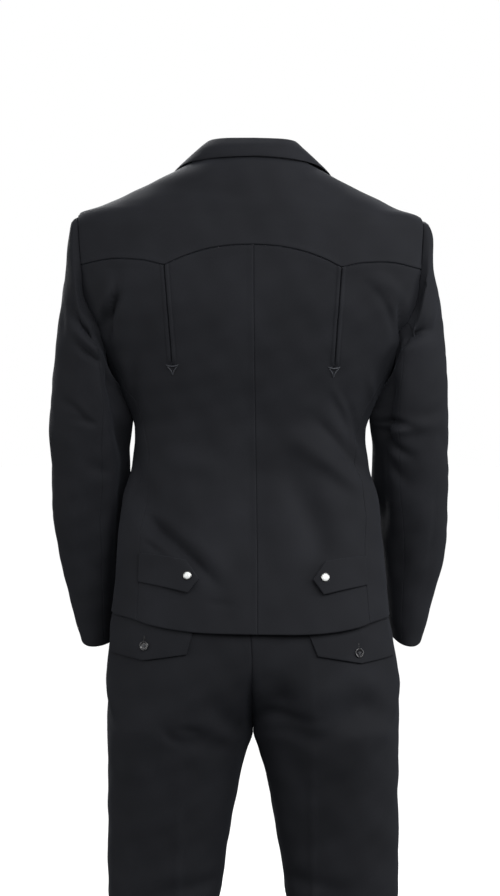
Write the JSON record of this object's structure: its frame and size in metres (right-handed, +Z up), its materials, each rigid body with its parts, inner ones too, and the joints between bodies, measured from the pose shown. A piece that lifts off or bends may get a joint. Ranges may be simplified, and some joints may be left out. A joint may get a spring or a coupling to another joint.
{
  "type": "western suit",
  "caption": "Men's western suit as worn: short jacket with scalloped back yoke, arrow-ended pleats and snap tabs, over straight trousers with pointed back pocket flaps.",
  "frame": {"origin": "on the centre line at the base of the neck, where the jacket rests on the wearer's shoulders", "axes": "+Z up, the wearer faces -Y, +X is the wearer's left"},
  "size_m": [0.544, 0.2672, 1.5551],
  "materials": {
    "suiting": "near-black twill suiting, matt, pressed",
    "suiting_trim": "the same suiting, folded and edge-stitched",
    "thread": "satin-stitched black silk thread",
    "horn": "polished black four-hole button",
    "pearl": "white pearl snap cap"
  },
  "bodies": {
    "root": {"back_yoke": "suiting", "collar_fall": "suiting", "back_left": "suiting", "back_right": "suiting", "side_left": "suiting", "side_right": "suiting", "front_left": "suiting", "front_right": "suiting", "lapel_left": "suiting", "lapel_right": "suiting", "sleeve_top_left": "suiting", "sleeve_top_right": "suiting", "sleeve_under_left": "suiting", "sleeve_under_right": "suiting", "tab_left": "suiting", "tab_right": "suiting", "trouser_back_left": "suiting", "trouser_back_right": "suiting", "trouser_front_left": "suiting", "trouser_front_right": "suiting", "pocket_flap_left": "suiting", "pocket_flap_right": "suiting", "collar_stand": "suiting_trim", "fly_flap": "suiting_trim", "waistband_left": "suiting_trim", "waistband_right": "suiting_trim", "pleat_inner_left": "suiting_trim", "pleat_inner_right": "suiting_trim", "pleat_outer_left": "suiting_trim", "pleat_outer_right": "suiting_trim", "arrowhead_left": "thread", "arrowhead_right": "thread", "front_button_upper": "horn", "front_button_lower": "horn", "waist_button": "horn", "pocket_button_left": "horn", "pocket_button_right": "horn", "tab_snap_left": "pearl", "tab_snap_right": "pearl"}
  },
  "joints": []
}
